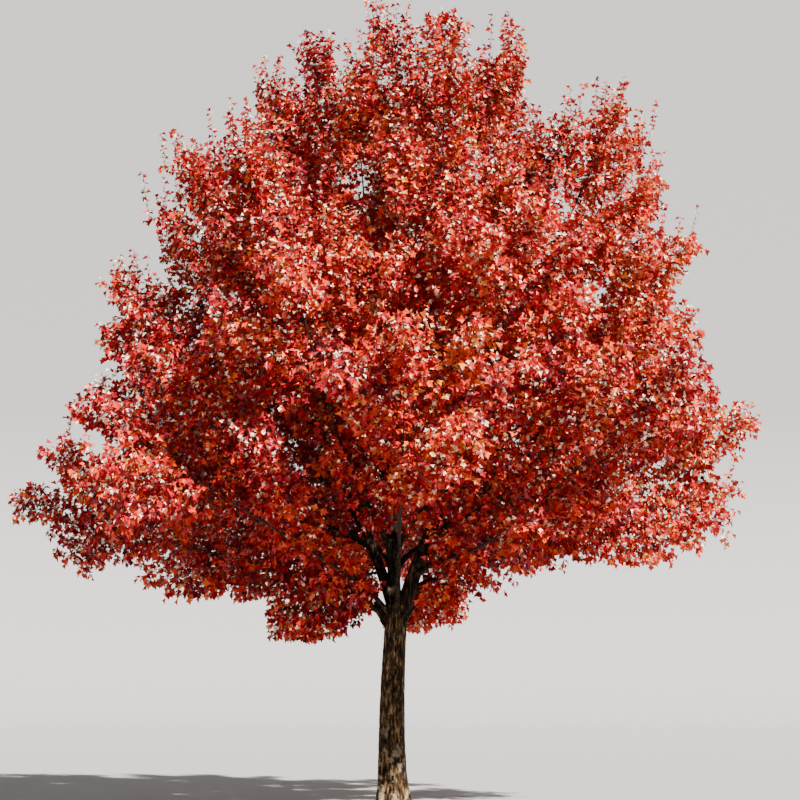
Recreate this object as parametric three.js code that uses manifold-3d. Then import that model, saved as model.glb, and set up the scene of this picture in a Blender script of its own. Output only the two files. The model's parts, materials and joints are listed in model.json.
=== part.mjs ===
// A red maple tree in autumn leaf, rooted in the ground: one trunk with a root flare, its boughs,
// and the masses of foliage that the boughs carry.
// Millimetres, +Z up. The origin is on the flat cut under the trunk, and -Y is the front of the tree.

import * as THREE from "three";
import { mergeVertices } from "three/addons/utils/BufferGeometryUtils.js";
import Module from "manifold-3d";

const wasm = await Module();
wasm.setup();

const DEGREE = Math.PI / 180;
const UP = new THREE.Vector3(0, 0, 1);

// Driving dimensions of the trunk
const FORK_HEIGHT = 2870;
const FORK_LEAN = 60;
const TRUNK_BEND = 25;
const TRUNK_TOP_RADIUS = 162;
const TRUNK_TAPER = 45;
const TAPER_HEIGHT = 2300;
const FLARE = 85;
const FLARE_HEIGHT = 240;
const BUTTRESSES = 5;
const BUTTRESS_DEPTH = 0.3;
const TRUNK_SIDES = 15;
const TRUNK_STEPS = 9;

// Every limb and every mass of foliage spreads from the fork, in tiers that rise more and more steeply.
// turn: where the tier's first limb points, in degrees from +X towards +Y;
// rise: degrees above level; reach: how far from the fork the foliage goes;
// entry: how far from the fork a bough ends in its foliage; floor: the lowest height of the foliage;
// each of these in four numbers, at the right, at the back, at the left and at the front of the tree;
// girth: radius of a bough at its foot; pairs: pairs of side twigs;
// leaf: length of a large leaf, which stands for a spray;
// notch: share of its reach by which a mass draws in beside its neighbours
const FORK = new THREE.Vector3(FORK_LEAN, 0, FORK_HEIGHT);
const TIERS = [
  {
    name: "top", count: 4, turn: 22,
    rise: [81, 80, 82, 80], reach: [8900, 8900, 8800, 8900],
    entry: [2900, 2900, 2900, 2900], floor: [3400, 3800, 3000, 4000],
    girth: 62, pairs: 4, leaf: 950, notch: 0.2,
  },
  {
    name: "upper", count: 6, turn: -12,
    rise: [65, 66, 65, 65], reach: [8400, 7600, 7900, 6800],
    entry: [2400, 2400, 2400, 2400], floor: [3400, 3800, 3000, 4000],
    girth: 62, pairs: 4, leaf: 1000, notch: 0.2,
  },
  {
    name: "middle", count: 8, turn: 22.5,
    rise: [47, 48, 45, 50], reach: [7100, 7000, 6400, 6700],
    entry: [1700, 1300, 1500, 2000], floor: [3400, 3800, 3000, 4000],
    girth: 52, pairs: 3, leaf: 1100, notch: 0.15,
  },
  {
    name: "low", count: 8, turn: 0,
    rise: [27, 22, 15, 27], reach: [6150, 6200, 6000, 6300],
    entry: [1200, 1000, 900, 1600], floor: [3400, 3600, 2950, 4000],
    girth: 46, pairs: 3, leaf: 1100, notch: 0.1,
  },
  {
    name: "under", count: 3, turn: 200,
    rise: [8, 0, -8, 0], reach: [1200, 1300, 2100, 1300],
    entry: [400, 400, 350, 400], floor: [2550, 2550, 2330, 2550],
    girth: 34, pairs: 2, leaf: 520, notch: 0.14,
  },
];
const AZIMUTH_SWAY = 7;
const RISE_SWAY = 3.5;

// The three limbs that carry the others, each by its place in its tier
const LEADERS = {
  upper_1: { name: "right", girth: 120, foot: 0.86 },
  top_2: { name: "centre", girth: 104, foot: 0.9 },
  upper_4: { name: "left", girth: 88, foot: 0.93 },
};

// Feet of the other boughs, as shares of the length of what carries them: the lowest and the highest
const TOP_SEATS = [0.42, 0.67];
const UPPER_SEATS = [0.6, 0.72];
const MIDDLE_SIDE_SEATS = [0.38, 0.52];
const MIDDLE_SEATS = [0.22, 0.34];
const LOW_RIGHT_SEATS = [0.2, 0.32];
const LOW_SEATS = [0.84, 0.94];
const UNDER_SEATS = [0.79, 0.86];
const SIDE_SHARE = 0.5;
const FOOT_UPSWEEP = 0.35;
const LIMB_TIP_SHARE = 0.5;

// Boughs and stems
const SEAT_GAP = 0.3;
const LIMB_SIDES = 6;
const LIMB_STEPS = 3;
const LEADER_SIDES = 8;
const LEADER_STEPS = 5;
const STEM_FOOT_SHARE = 0.96;
const STEM_SIDES = 4;
const STEM_STEPS = 3;
const STEM_LEAD = 0.25;
const STEM_STOPS_SHORT = 1;
const STEM_TIP_RADIUS = 6;

// Side twigs, in opposite pairs, and the large leaves, each of which stands for a spray
const FIRST_PAIR = 0.16;
const LAST_PAIR = 0.86;
const TWIG_ANGLE = 40;
const TWIG_ANGLE_SWAY = 8;
const TWIG_SWAY = 0.15;
const ROLL_SWAY = 20;
const TWIG_SHARE = 0.36;
const TWIG_SHORTENING = 0.5;
const TWIG_MIN_SHARE = 0.3;
const LEAF_TRIES = 9;
const MASS_LEAVES = 14;
const LEAF_PLACES = [
  { at: 0.93, lean: 0 },
  { at: 0.66, lean: 1.1 },
  { at: 0.66, lean: -1.1 },
  { at: 0.36, lean: 1.3 },
  { at: 0.36, lean: -1.3 },
];
const TWIG_RADIUS_SHARE = 0.55;
const LEAF_WIDTH_SHARE = 0.88;
const LEAF_THICKNESS_SHARE = 0.02;
const LEAF_WIDE_PLACE = 0.42;
const LEAF_THICK_PLACE = 0.14;
const ROOT_DEPTH = 2;
const LEAF_SIZES = [1, 0.8, 0.62];
const FACING_UP = 0.55;
const FACING_SWAY = 0.7;
const LEAF_HANG = 0.8;

// How sharply the crown draws in between two masses, and the distances that the solids keep
const NOTCH_POWER = 1.5;
const WALL_CLEARANCE = 8;
const TWIG_CLEARANCE = 32;
const LIMB_CLEARANCE = 45;
const OWN_BOUGH_CLEARANCE = 60;
const STRIDE = 40;

const BARK = { color: 0x4b3a30, roughness: 0.95, metalness: 0 };
const LEAF = { color: 0xb3202a, roughness: 0.6, metalness: 0 };

function seededRandom(seed) {
  let state = seed >>> 0;
  return () => {
    state = (state + 0x6d2b79f5) >>> 0;
    let mixed = Math.imul(state ^ (state >>> 15), state | 1);
    mixed ^= mixed + Math.imul(mixed ^ (mixed >>> 7), mixed | 61);
    return ((mixed ^ (mixed >>> 14)) >>> 0) / 2 ** 32;
  };
}

function swing(random, size) {
  return (2 * random() - 1) * size;
}

function direction(azimuth, rise) {
  const level = Math.cos(rise * DEGREE);
  const across = level * Math.cos(azimuth * DEGREE);
  const away = level * Math.sin(azimuth * DEGREE);
  return new THREE.Vector3(across, away, Math.sin(rise * DEGREE));
}

function fromFork(heading, distance) {
  return FORK.clone().addScaledVector(heading, distance);
}

// The limbs, worked out tier by tier

// Blend of four values, which hold at the right, the back, the left and the front

function around(values, azimuth) {
  const [right, back, left, front] = values;
  const across = Math.cos(azimuth * DEGREE);
  const away = Math.sin(azimuth * DEGREE);
  return across ** 2 * (across > 0 ? right : left) + away ** 2 * (away > 0 ? back : front);
}

function makeLimb(tier, place, seed) {
  const random = seededRandom(seed);
  const key = `${tier.name}_${place + 1}`;
  const leader = LEADERS[key];
  const plain = tier.turn + (360 / tier.count) * place;
  const sideways = Math.abs(Math.sin(plain * DEGREE));
  const azimuth = plain + swing(random, AZIMUTH_SWAY) * sideways;
  const rise = around(tier.rise, azimuth) + swing(random, RISE_SWAY) * sideways;
  const heading = direction(azimuth, rise);
  const reach = around(tier.reach, azimuth);
  const entry = around(tier.entry, azimuth);
  const floor = around(tier.floor, azimuth);
  const name = leader ? `leader_${leader.name}` : `bough_${key}`;
  const girth = leader ? leader.girth : tier.girth;
  return { key, name, tier, place, azimuth, heading, reach, entry, floor, leader, girth, random };
}

function makeLimbs() {
  let seed = 1;
  const limbs = [];
  for (const tier of TIERS) {
    for (let place = 0; place < tier.count; place += 1) {
      limbs.push(makeLimb(tier, place, seed));
      seed += 1;
    }
  }
  return limbs;
}

class TrunkAxis extends THREE.Curve {
  ringsLevel = true;

  getPoint(t, target = new THREE.Vector3()) {
    const lean = FORK_LEAN * t * t - TRUNK_BEND * Math.sin(Math.PI * t);
    return target.set(lean, 0, FORK_HEIGHT * t);
  }
}

function trunkRadius(t, angle) {
  const height = FORK_HEIGHT * t;
  const taper = TRUNK_TAPER * Math.max(0, 1 - height / TAPER_HEIGHT);
  const flare = FLARE * Math.exp(-height / FLARE_HEIGHT);
  const buttress = 1 + BUTTRESS_DEPTH * Math.cos(BUTTRESSES * angle);
  return TRUNK_TOP_RADIUS + taper + flare * buttress;
}

// The curve that carries a limb, and how far along that curve the limb has its foot

function chooseSeat(limb, trunk, leaders) {
  const across = Math.cos(limb.azimuth * DEGREE);
  const sideLeader = across > 0 ? leaders.right : leaders.left;
  const isSide = Math.abs(across) > SIDE_SHARE;
  const order = limb.place / limb.tier.count;
  const seats = {
    top: [leaders.centre, TOP_SEATS],
    upper: [sideLeader, UPPER_SEATS],
    middle: isSide ? [sideLeader, MIDDLE_SIDE_SEATS] : [leaders.centre, MIDDLE_SEATS],
    low: across > SIDE_SHARE ? [leaders.right, LOW_RIGHT_SEATS] : [trunk, LOW_SEATS],
    under: [trunk, UNDER_SEATS],
  };
  const [parent, [lowest, highest]] = seats[limb.tier.name];
  return limb.leader
    ? { curve: trunk.curve, at: limb.leader.foot }
    : { curve: parent.curve, at: THREE.MathUtils.lerp(lowest, highest, order) };
}

function limbCurve(limb, seat) {
  const foot = seat.curve.getPoint(seat.at);
  const tip = fromFork(limb.heading, limb.entry);
  const outward = tip.clone().sub(foot).normalize();
  const start = outward.addScaledVector(seat.curve.getTangent(seat.at), FOOT_UPSWEEP).normalize();
  const bend = foot.clone().addScaledVector(start, foot.distanceTo(tip) / 2);
  return new THREE.QuadraticBezierCurve3(foot, bend, tip);
}

function limbRadius(limb) {
  return (t) => limb.girth * THREE.MathUtils.lerp(1, LIMB_TIP_SHARE, t);
}

// Solids

function toSolid(geometry) {
  geometry.deleteAttribute("normal");
  geometry.deleteAttribute("uv");
  const merged = mergeVertices(geometry, 1e-3);
  const vertProperties = new Float32Array(merged.attributes.position.array);
  const triVerts = new Uint32Array(merged.index.array);
  return new wasm.Manifold(new wasm.Mesh({ numProp: 3, vertProperties, triVerts }));
}

// A tapering limb: a cylinder whose rings are moved on to the curve and sized by radiusAt(t, angle)

function bentCylinder(curve, radiusAt, sides, steps, extra = 0) {
  const geometry = new THREE.CylinderGeometry(1, 1, 1, sides, steps);
  const frames = frameRings(curve, steps, extra);
  const position = geometry.attributes.position;
  for (let i = 0; i < position.count; i += 1) {
    const t = position.getY(i) + 0.5;
    const ring = frames[Math.round(t * steps)];
    const angle = Math.atan2(position.getZ(i), position.getX(i));
    const fullness = Math.hypot(position.getX(i), position.getZ(i));
    const radius = fullness * (radiusAt(t, angle) + extra);
    const point = ring.centre.clone();
    point.addScaledVector(ring.side, radius * Math.cos(angle));
    point.addScaledVector(ring.other, radius * Math.sin(angle));
    position.setXYZ(i, point.x, point.y, point.z);
  }
  return toSolid(geometry);
}

function frameRings(curve, steps, extra) {
  const rings = [];
  let side = new THREE.Vector3(1, 0, 0);
  for (let i = 0; i <= steps; i += 1) {
    const t = i / steps;
    const along = curve.ringsLevel ? UP : curve.getTangent(t);
    const beyond = (i === steps ? extra : 0) - (i === 0 ? extra : 0);
    const centre = curve.getPoint(t).addScaledVector(along, beyond);
    side = side.clone().addScaledVector(along, -side.dot(along)).normalize();
    const other = side.clone().cross(along);
    rings.push({ centre, side, other });
  }
  return rings;
}

function largestBody(solid) {
  const bodies = solid.decompose();
  return bodies.reduce((best, body) => (body.volume() > best.volume() ? body : best));
}

// The space of a mass: the part of the crown that lies nearest to its own heading

function centrality(mass, masses, point) {
  const ray = point.clone().sub(FORK).normalize();
  let rival = -1;
  let nearest = -1;
  for (const other of masses) {
    if (other !== mass) {
      rival = Math.max(rival, other.heading.dot(ray));
      nearest = Math.max(nearest, other.heading.dot(mass.heading));
    }
  }
  const own = mass.heading.dot(ray);
  return THREE.MathUtils.clamp((own - rival) / (1 - nearest), 0, 1);
}

function wallDistance(mass, masses, point) {
  const offset = point.clone().sub(FORK);
  let distance = Infinity;
  for (const other of masses) {
    if (other !== mass) {
      const wall = mass.heading.clone().sub(other.heading);
      distance = Math.min(distance, wall.dot(offset) / wall.length());
    }
  }
  return distance;
}

function reachAt(mass, masses, point) {
  const edge = 1 - centrality(mass, masses, point);
  return mass.reach * (1 - mass.tier.notch * edge ** NOTCH_POWER);
}

function inSpace(mass, masses, point, clearance) {
  if (point.z < mass.floor || wallDistance(mass, masses, point) < clearance) {
    return false;
  }
  return point.distanceTo(FORK) <= reachAt(mass, masses, point);
}

// How far a twig can grow before it would leave its mass's space

function roomAlong(mass, masses, start, heading, longest) {
  let length = 0;
  while (length < longest) {
    const point = start.clone().addScaledVector(heading, length + STRIDE);
    if (!inSpace(mass, masses, point, TWIG_CLEARANCE)) {
      return length;
    }
    length += STRIDE;
  }
  return longest;
}

// The stem and side twigs of a mass: opposite pairs, each pair turned a quarter from the last

function stemCurve(mass) {
  const along = mass.curve.getTangent(1);
  const start = mass.curve.getPoint(1).addScaledVector(along, SEAT_GAP);
  const tipDistance = mass.reach - mass.tier.leaf * STEM_STOPS_SHORT;
  const tip = fromFork(mass.heading, tipDistance);
  const span = start.distanceTo(tip);
  const bend = start.clone().addScaledVector(along, span * STEM_LEAD);
  return new THREE.QuadraticBezierCurve3(start, bend, tip);
}

// A stem is straight from one ring to the next, so its twigs are rooted on those straight stretches

function straightened(curve, share) {
  const below = Math.min(Math.floor(share * STEM_STEPS), STEM_STEPS - 1);
  const start = curve.getPoint(below / STEM_STEPS);
  const end = curve.getPoint((below + 1) / STEM_STEPS);
  return start.lerp(end, share * STEM_STEPS - below);
}

function sideTwigs(mass, masses) {
  const twigs = [];
  const roll = mass.random() * 360;
  for (let pair = 0; pair < mass.tier.pairs; pair += 1) {
    const share = THREE.MathUtils.lerp(FIRST_PAIR, LAST_PAIR, pair / (mass.tier.pairs - 1));
    const root = straightened(mass.stem, share);
    const along = mass.stem.getTangent(share);
    const flat = new THREE.Vector3().crossVectors(along, UP).normalize();
    for (const turn of [0, 180]) {
      const around = (roll + 90 * pair + turn + swing(mass.random, ROLL_SWAY)) * DEGREE;
      const lateral = flat.clone().applyAxisAngle(along, around);
      const angle = (TWIG_ANGLE + swing(mass.random, TWIG_ANGLE_SWAY)) * DEGREE;
      const heading = along.clone().multiplyScalar(Math.cos(angle));
      heading.addScaledVector(lateral, Math.sin(angle)).normalize();
      const nominal = TWIG_SHARE * mass.reach * (1 - TWIG_SHORTENING * share);
      const longest = nominal * (1 + swing(mass.random, TWIG_SWAY));
      const length = roomAlong(mass, masses, root, heading, longest);
      twigs.push({ root, heading, length, share, along });
    }
  }
  return twigs;
}

function stemRadius(mass) {
  const foot = mass.girth * LIMB_TIP_SHARE * STEM_FOOT_SHARE;
  return (t) => THREE.MathUtils.lerp(foot, STEM_TIP_RADIUS, t);
}

function twigSolid(twig, radius) {
  const length = twig.length;
  const geometry = new THREE.ConeGeometry(radius, length, 3, 1);
  geometry.translate(0, length / 2, 0);
  const turn = new THREE.Quaternion().setFromUnitVectors(new THREE.Vector3(0, 1, 0), twig.heading);
  geometry.applyQuaternion(turn);
  geometry.translate(twig.root.x, twig.root.y, twig.root.z);
  return toSolid(geometry);
}

// A leaf: four points round its rim and a thick place near its root on either face

function leafFrame(root, heading, facing) {
  const normal = facing.clone().addScaledVector(heading, -facing.dot(heading)).normalize();
  const side = new THREE.Vector3().crossVectors(normal, heading);
  return { root, heading, side, normal };
}

function leafForward(x, y, length) {
  if (x === 1) {
    return length;
  }
  if (x === -1) {
    return -ROOT_DEPTH;
  }
  return (y === 0 ? LEAF_THICK_PLACE : LEAF_WIDE_PLACE) * length;
}

function leafSolid(frame, length) {
  const geometry = new THREE.OctahedronGeometry(1, 0);
  const position = geometry.attributes.position;
  const halfWidth = (length * LEAF_WIDTH_SHARE) / 2;
  const halfThickness = (length * LEAF_THICKNESS_SHARE) / 2;
  const points = [];
  for (let i = 0; i < position.count; i += 1) {
    const x = Math.round(position.getX(i));
    const y = Math.round(position.getY(i));
    const z = Math.round(position.getZ(i));
    const forward = leafForward(x, y, length);
    const point = frame.root.clone().addScaledVector(frame.heading, forward);
    point.addScaledVector(frame.side, y * halfWidth);
    point.addScaledVector(frame.normal, z * halfThickness);
    position.setXYZ(i, point.x, point.y, point.z);
    points.push(point);
  }
  return { solid: toSolid(geometry), points };
}

// A limb's axis passes through a leaf where one of its closely set points lies in the leaf's slab

function leafTouchesLimb(frame, length, limbPoints) {
  for (const { point, radius } of limbPoints) {
    const offset = point.clone().sub(frame.root);
    const reach = radius + LIMB_CLEARANCE;
    const forward = offset.dot(frame.heading);
    const aside = Math.abs(offset.dot(frame.side));
    const off = Math.abs(offset.dot(frame.normal));
    const inside = forward > -reach && forward < length + reach;
    if (inside && aside < length * LEAF_WIDTH_SHARE * 0.5 + reach && off < reach) {
      return true;
    }
  }
  return false;
}

function twigTouchesLimb(root, heading, length, limbPoints) {
  for (let along = STRIDE; along <= length; along += STRIDE) {
    const point = root.clone().addScaledVector(heading, along);
    for (const limb of limbPoints) {
      if (point.distanceTo(limb.point) < limb.radius + LIMB_CLEARANCE) {
        return true;
      }
    }
  }
  return false;
}

function tryLeaf(mass, masses, limbPoints, kept, root, toward) {
  const outward = root.clone().sub(FORK).setZ(0).normalize();
  const facing = outward.addScaledVector(UP, FACING_UP);
  facing.x += swing(mass.random, FACING_SWAY);
  facing.y += swing(mass.random, FACING_SWAY);
  facing.z += swing(mass.random, FACING_SWAY);
  facing.normalize();
  const heading = toward.clone().addScaledVector(facing, -LEAF_HANG * toward.dot(facing)).normalize();
  const frame = leafFrame(root, heading, facing);
  for (const size of LEAF_SIZES) {
    const length = mass.tier.leaf * size;
    const leaf = leafSolid(frame, length);
    const inside = leaf.points.every((point) => inSpace(mass, masses, point, WALL_CLEARANCE));
    if (inside && !leafTouchesLimb(frame, length, limbPoints)) {
      const clear = kept.every((other) => leaf.solid.intersect(other.solid).isEmpty());
      if (clear) {
        return leaf;
      }
    }
  }
  return null;
}

// One leaf on a twig, tried in a few facings; a mass that has its share of leaves takes no more

function growLeaf(mass, masses, limbPoints, kept, twig, at, lean) {
  const root = twig.root.clone().addScaledVector(twig.heading, twig.length * at);
  const across = new THREE.Vector3().crossVectors(twig.heading, UP).normalize();
  across.applyAxisAngle(twig.heading, mass.random() * Math.PI);
  const toward = twig.heading.clone().addScaledVector(across, lean).normalize();
  for (let tries = 0; tries < LEAF_TRIES && kept.length < MASS_LEAVES; tries += 1) {
    const leaf = tryLeaf(mass, masses, limbPoints, kept, root, toward);
    if (leaf) {
      return leaf;
    }
  }
  return null;
}

function growMass(mass, masses, limbPoints) {
  mass.stem = stemCurve(mass);
  const radiusAt = stemRadius(mass);
  const wood = [bentCylinder(mass.stem, radiusAt, STEM_SIDES, STEM_STEPS)];
  const leaves = [];
  const ends = [];
  for (const twig of sideTwigs(mass, masses)) {
    const fits = twig.length >= mass.tier.leaf * TWIG_MIN_SHARE;
    if (fits && !twigTouchesLimb(twig.root, twig.heading, twig.length, limbPoints)) {
      const radius = Math.max(radiusAt(twig.share) * TWIG_RADIUS_SHARE, STEM_TIP_RADIUS);
      wood.push(twigSolid(twig, radius));
      ends.push(twig);
    }
  }
  const endRoot = straightened(mass.stem, LAST_PAIR);
  const stemEnd = mass.stem.getPoint(1).sub(endRoot);
  ends.push({ root: endRoot, heading: stemEnd.clone().normalize(), length: stemEnd.length() });
  for (const { at, lean } of LEAF_PLACES) {
    for (const end of ends) {
      const leaf = growLeaf(mass, masses, limbPoints, leaves, end, at, lean);
      if (leaf) {
        leaves.push(leaf);
      }
    }
  }
  return largestBody(wasm.Manifold.union([...wood, ...leaves.map((leaf) => leaf.solid)]));
}

// The scene graph

function meshOf(name, solid, finish, origin) {
  const placed = solid.translate([-origin.x, -origin.y, -origin.z]);
  const data = placed.getMesh();
  const geometry = new THREE.BufferGeometry();
  geometry.setAttribute("position", new THREE.BufferAttribute(new Float32Array(data.vertProperties), 3));
  geometry.setIndex(new THREE.BufferAttribute(new Uint32Array(data.triVerts), 1));
  geometry.computeVertexNormals();
  const mesh = new THREE.Mesh(geometry, new THREE.MeshStandardMaterial(finish));
  mesh.name = name;
  mesh.position.copy(origin);
  return mesh;
}

function samplePoints(curve, radiusAt) {
  const points = [];
  const steps = Math.ceil(curve.getLength() / STRIDE);
  for (let i = 0; i <= steps; i += 1) {
    points.push({ point: curve.getPoint(i / steps), radius: radiusAt(i / steps, 0) });
  }
  return points;
}

const tree = new THREE.Group();
const trunk = { curve: new TrunkAxis() };
const trunkSolid = bentCylinder(trunk.curve, trunkRadius, TRUNK_SIDES, TRUNK_STEPS);
const limbs = makeLimbs();
const leaders = {};
for (const limb of limbs.filter((each) => each.leader)) {
  leaders[limb.leader.name] = limb;
}

const standing = [bentCylinder(trunk.curve, trunkRadius, TRUNK_SIDES, TRUNK_STEPS, SEAT_GAP)];
let limbPoints = samplePoints(trunk.curve, trunkRadius);
const ordered = [leaders.right, leaders.centre, leaders.left, ...limbs.filter((limb) => !limb.leader)];
tree.add(meshOf("trunk", trunkSolid, BARK, new THREE.Vector3()));
for (const limb of ordered) {
  limb.curve = limbCurve(limb, chooseSeat(limb, trunk, leaders));
  const radiusAt = limbRadius(limb);
  const steps = limb.leader ? LEADER_STEPS : LIMB_STEPS;
  const sides = limb.leader ? LEADER_SIDES : LIMB_SIDES;
  let solid = bentCylinder(limb.curve, radiusAt, sides, steps);
  for (const other of standing) {
    solid = solid.subtract(other);
  }
  standing.push(bentCylinder(limb.curve, radiusAt, sides, steps, SEAT_GAP));
  limbPoints = limbPoints.concat(samplePoints(limb.curve, radiusAt));
  tree.add(meshOf(limb.name, largestBody(solid), BARK, limb.curve.getPoint(0)));
}

for (const mass of limbs) {
  const entry = mass.curve.getPoint(1);
  const others = limbPoints.filter(({ point }) => point.distanceTo(entry) > OWN_BOUGH_CLEARANCE);
  const solid = growMass(mass, limbs, others);
  tree.add(meshOf(`foliage_${mass.key}`, solid, LEAF, entry));
}

export default tree;
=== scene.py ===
# A red maple tree in autumn leaf: bark, twigs and leaves that grow on from the limbs.
# Metres, +Z up, and -Y is the front of the tree.

import json
import math

import bpy
import numpy as np
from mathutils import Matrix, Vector

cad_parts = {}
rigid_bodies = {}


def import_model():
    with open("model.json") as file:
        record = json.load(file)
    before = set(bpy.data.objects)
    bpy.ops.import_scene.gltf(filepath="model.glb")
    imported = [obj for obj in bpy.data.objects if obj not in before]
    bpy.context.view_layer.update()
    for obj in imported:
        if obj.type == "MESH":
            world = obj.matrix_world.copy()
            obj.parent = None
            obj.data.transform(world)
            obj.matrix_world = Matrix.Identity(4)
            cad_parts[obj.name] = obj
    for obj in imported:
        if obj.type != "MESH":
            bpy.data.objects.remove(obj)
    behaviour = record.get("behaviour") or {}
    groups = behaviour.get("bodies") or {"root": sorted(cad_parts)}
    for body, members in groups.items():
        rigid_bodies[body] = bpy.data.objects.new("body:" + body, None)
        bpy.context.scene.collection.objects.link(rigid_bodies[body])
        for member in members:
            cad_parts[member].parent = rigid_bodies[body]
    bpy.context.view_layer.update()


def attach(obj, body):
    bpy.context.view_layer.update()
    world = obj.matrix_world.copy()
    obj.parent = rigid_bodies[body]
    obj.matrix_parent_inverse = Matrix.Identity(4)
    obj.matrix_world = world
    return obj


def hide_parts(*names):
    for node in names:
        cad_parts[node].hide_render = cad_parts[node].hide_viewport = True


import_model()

UP = np.array([0.0, 0.0, 1.0])

# The photograph's camera: its frame, the trunk's column in it, and where the eye stands
IMAGE_SIZE = 800
TRUNK_COLUMN = 393
FOCAL_PIXELS = 1632
CAMERA_DISTANCE = 24.0
EYE_HEIGHT = 1.6
CAMERA_PITCH = math.radians(10.2)
SENSOR_WIDTH = 36.0
CLIP_END = 400

# The floor and the wall that it curves up into, the key light and the dim pale surround
FLOOR_HALF = 150
WALL_PLACE = 80
WALL_CURVE = 20
WALL_HEIGHT = 90
WALL_STEPS = 17
BACKDROP_COLOR = (0.34, 0.345, 0.35)
BACKDROP_ROUGHNESS = 0.9
KEY_HEADING = (-0.60, 0.55, -0.80)
KEY_ENERGY = 17.4
KEY_ANGLE = math.radians(1.2)
KEY_COLOR = (1.0, 0.95, 0.88)
SURROUND_COLOR = (0.86, 0.86, 0.88, 1)
SURROUND_STRENGTH = 0.17

# The trunk
FORK_HEIGHT = 2.87
FORK_LEAN = 0.06
TRUNK_BEND = 0.025
TRUNK_TOP_RADIUS = 0.162
TRUNK_TAPER = 0.045
TAPER_HEIGHT = 2.3
FLARE = 0.085
FLARE_HEIGHT = 0.24
BUTTRESSES = 5
BUTTRESS_DEPTH = 0.3

# The tiers of limbs that spread from the fork, as in the part's source. A size in four numbers
# is what it comes to at the right, at the back, at the left and at the front of the tree.
FORK = np.array([FORK_LEAN, 0.0, FORK_HEIGHT])
TIERS = {
    "top": dict(
        count=4, turn=22, rise=(81, 80, 82, 80), reach=(8.9, 8.9, 8.8, 8.9),
        entry=(2.9, 2.9, 2.9, 2.9), floor=(3.4, 3.8, 3.0, 4.0),
        girth=0.062, pairs=4, leaf=0.95, notch=0.2,
    ),
    "upper": dict(
        count=6, turn=-12, rise=(65, 66, 65, 65), reach=(8.4, 7.6, 7.9, 6.8),
        entry=(2.4, 2.4, 2.4, 2.4), floor=(3.4, 3.8, 3.0, 4.0),
        girth=0.062, pairs=4, leaf=1.0, notch=0.2,
    ),
    "middle": dict(
        count=8, turn=22.5, rise=(47, 48, 45, 50), reach=(7.1, 7.0, 6.4, 6.7),
        entry=(1.7, 1.3, 1.5, 2.0), floor=(3.4, 3.8, 3.0, 4.0),
        girth=0.052, pairs=3, leaf=1.1, notch=0.15,
    ),
    "low": dict(
        count=8, turn=0, rise=(27, 22, 15, 27), reach=(6.15, 6.2, 6.0, 6.3),
        entry=(1.2, 1.0, 0.9, 1.6), floor=(3.4, 3.6, 2.95, 4.0),
        girth=0.046, pairs=3, leaf=1.1, notch=0.1,
    ),
    "under": dict(
        count=3, turn=200, rise=(8, 0, -8, 0), reach=(1.2, 1.3, 2.1, 1.3),
        entry=(0.4, 0.4, 0.35, 0.4), floor=(2.55, 2.55, 2.33, 2.55),
        girth=0.034, pairs=2, leaf=0.52, notch=0.14,
    ),
}
AZIMUTH_SWAY = 7
RISE_SWAY = 3.5
# Each leader's name, its girth and how far up the trunk it is rooted
LEADERS = {
    "upper_1": ("right", 0.12, 0.86),
    "top_2": ("centre", 0.104, 0.9),
    "upper_4": ("left", 0.088, 0.93),
}
TOP_SEATS = (0.42, 0.67)
UPPER_SEATS = (0.6, 0.72)
MIDDLE_SIDE_SEATS = (0.38, 0.52)
MIDDLE_SEATS = (0.22, 0.34)
LOW_RIGHT_SEATS = (0.2, 0.32)
LOW_SEATS = (0.84, 0.94)
UNDER_SEATS = (0.79, 0.86)
SIDE_SHARE = 0.5
FOOT_UPSWEEP = 0.35
LIMB_TIP_SHARE = 0.5

# Stems and their main twigs, as in the part's source
STEM_LEAD = 0.25
STEM_STOPS_SHORT = 1
STEM_TIP_RADIUS = 0.005
FIRST_PAIR = 0.16
LAST_PAIR = 0.86
PAIR_TURN = 90
TWIG_ANGLE = 40
TWIG_ANGLE_SWAY = 8
TWIG_SWAY = 0.15
ROLL_SWAY = 20
TWIG_SHARE = 0.36
TWIG_SHORTENING = 0.5
NOTCH_POWER = 1.5
NOTCH_FACTORS = (0.45, 1.15)
TWIG_CLEARANCE = 0.032
OVERLAP = 0.02
STRIDE = 0.04
SHOOT_TOP = 11.5

# What the scene adds to each tier: pairs of main twigs between the source's, the share of its
# side twigs that a mass keeps deep inside, and the sprays along its boughs, how crowded they
# are and from where to where, with 1 at the bough's tip and 2 at its stem's
GROWTH = {
    "top": dict(pairs_between=(0.33, 0.67), filling=0.35, crowding=4, sprays=(0.9, 1.8)),
    "upper": dict(pairs_between=(0.33, 0.67), filling=0.55, crowding=6, sprays=(0.75, 1.5)),
    "middle": dict(pairs_between=(0.33, 0.67), filling=0.65, crowding=5, sprays=(0.45, 1.35)),
    "low": dict(pairs_between=(0.33, 0.67), filling=0.75, crowding=9, sprays=(0.35, 1.35)),
    "under": dict(
        pairs_between=(0.2, 0.4, 0.6, 0.8), filling=1, crowding=14, sprays=(0.1, 1.35),
    ),
}
MAIN_LIFT = 0.07
MAIN_GIRTH_SHARE = 0.5
SHORTEST_MAIN_TWIG = 0.2
TIP_TWIG_EXTRA = 0.8
TIP_TWIG_GIRTH = 1.6

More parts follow.
